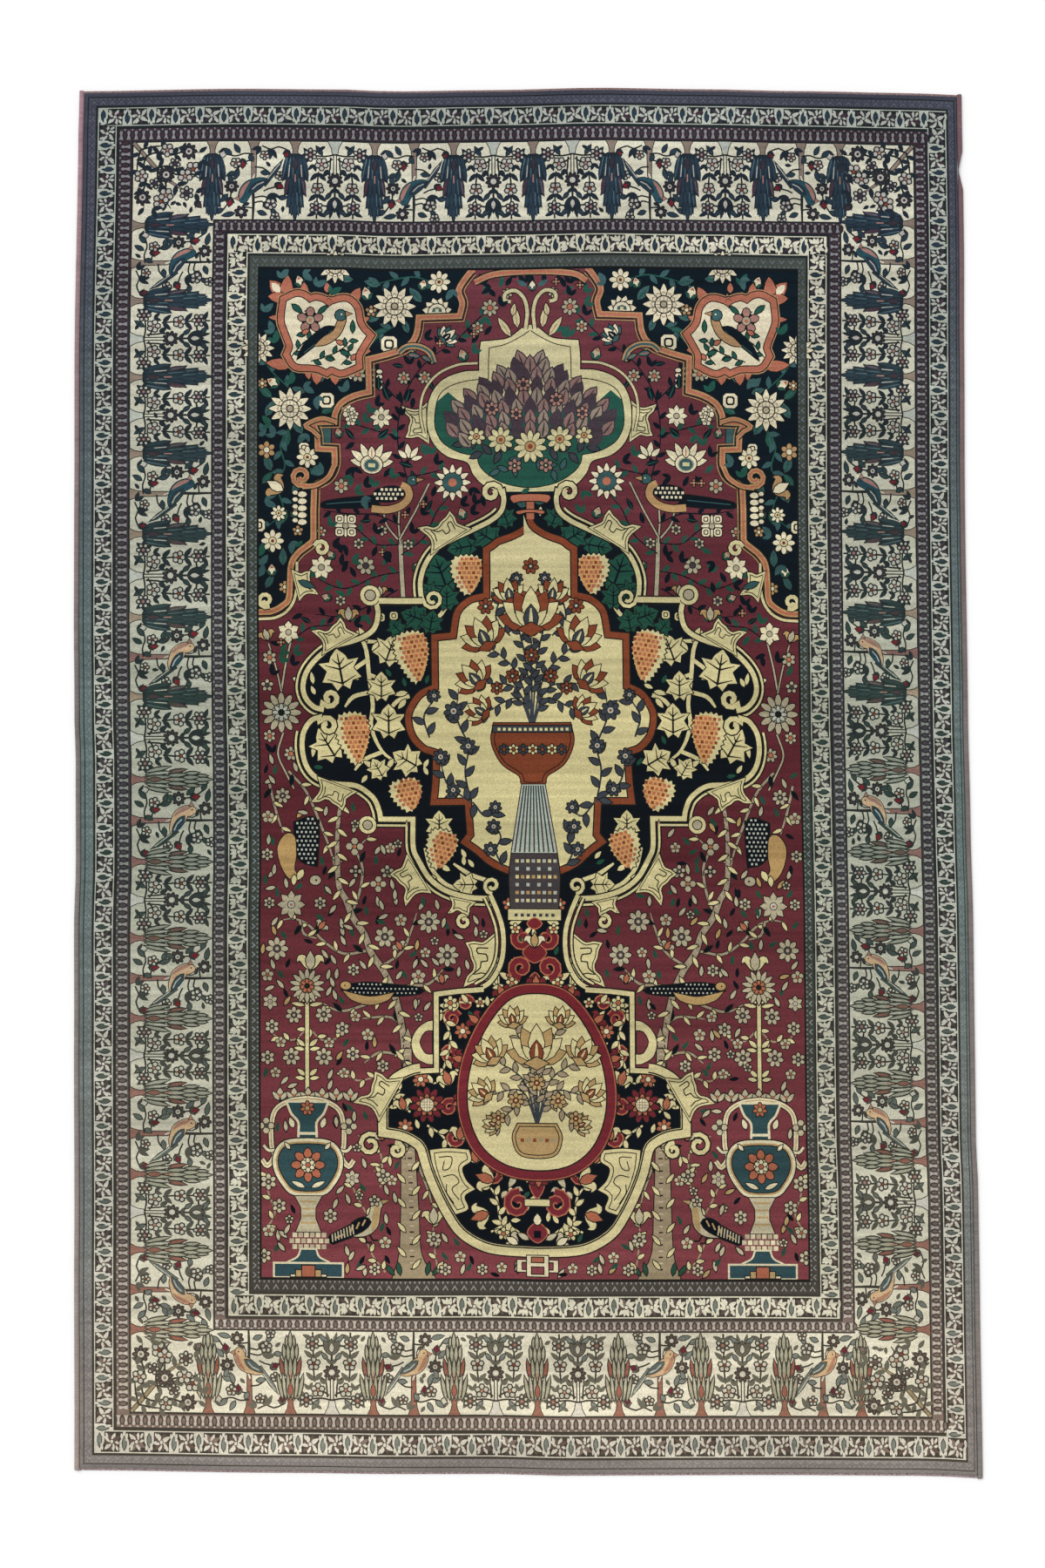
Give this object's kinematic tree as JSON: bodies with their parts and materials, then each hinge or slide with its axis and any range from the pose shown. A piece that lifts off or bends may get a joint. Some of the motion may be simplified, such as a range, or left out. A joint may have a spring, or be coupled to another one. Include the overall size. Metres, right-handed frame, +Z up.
{
  "type": "persian rug",
  "caption": "Flat hand-knotted wool rug with a medallion field, tree-and-bird border, overcast side cords and narrow woven ends.",
  "frame": {"origin": "on the underside, under the middle of the rug's box", "axes": "+X across the rug, +Y along it towards its upper end, +Z up through the pile"},
  "size_m": [1.3872, 2.1358, 0.006],
  "materials": {
    "pile": "cut wool pile, clipped short, knotted in madder red, indigo, ivory, camel, green and brown",
    "selvedge": "overcast wool cord, faded rose",
    "woven_end": "flat-woven strip, dusty red"
  },
  "bodies": {
    "root": {"pile_body": "pile", "selvedge_left": "selvedge", "selvedge_right": "selvedge", "kilim_end_top": "woven_end", "kilim_end_bottom": "woven_end"}
  },
  "joints": []
}
